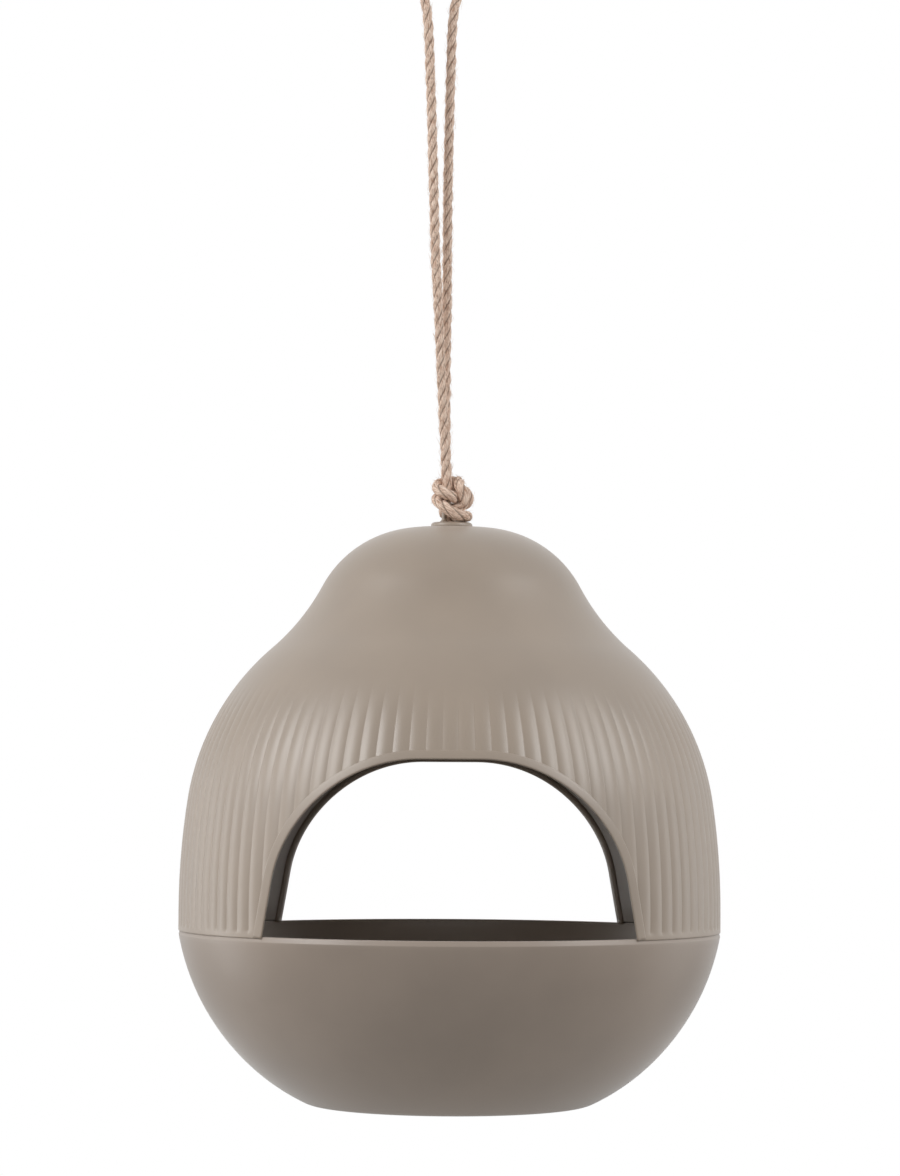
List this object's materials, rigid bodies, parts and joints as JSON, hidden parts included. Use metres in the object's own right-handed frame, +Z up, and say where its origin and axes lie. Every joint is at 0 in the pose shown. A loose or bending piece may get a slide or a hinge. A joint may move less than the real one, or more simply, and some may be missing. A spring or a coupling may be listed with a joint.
{
  "type": "hanging bird feeder",
  "caption": "Pear-shaped moulded bird feeder: ribbed roof with arched windows front and back over a round seed bowl, hung by a knotted rope.",
  "frame": {"origin": "inside top of the rope's loop, where a hook carries the feeder", "axes": "+Z up along the feeder's own axis, windows facing -Y (front) and +Y (back), +X to the right seen from the front"},
  "size_m": [0.1994, 0.1992, 0.4331],
  "materials": {
    "jute": "twisted natural fibre",
    "eye_plastic": "satin moulded",
    "roof_plastic": "satin moulded, ribbed",
    "bowl_plastic": "satin moulded"
  },
  "bodies": {
    "rope": {"hanging_rope": "jute", "rope_knot": "jute"},
    "roof": {"roof_shell": "roof_plastic", "hanger_eye": "eye_plastic"},
    "bowl": {"seed_bowl": "bowl_plastic"}
  },
  "joints": [
    {"name": "roof_swing", "type": "hinge", "parent": "rope", "child": "roof", "pos_m": [0.0055, 0, -0.2117], "axis": [0, 1, 0], "range_deg": [-6, 6]},
    {"name": "bowl_twist", "type": "hinge", "parent": "roof", "child": "bowl", "pos_m": [0.0055, 0, -0.36552], "axis": [0, 0, 1], "range_deg": [0, 9]}
  ]
}
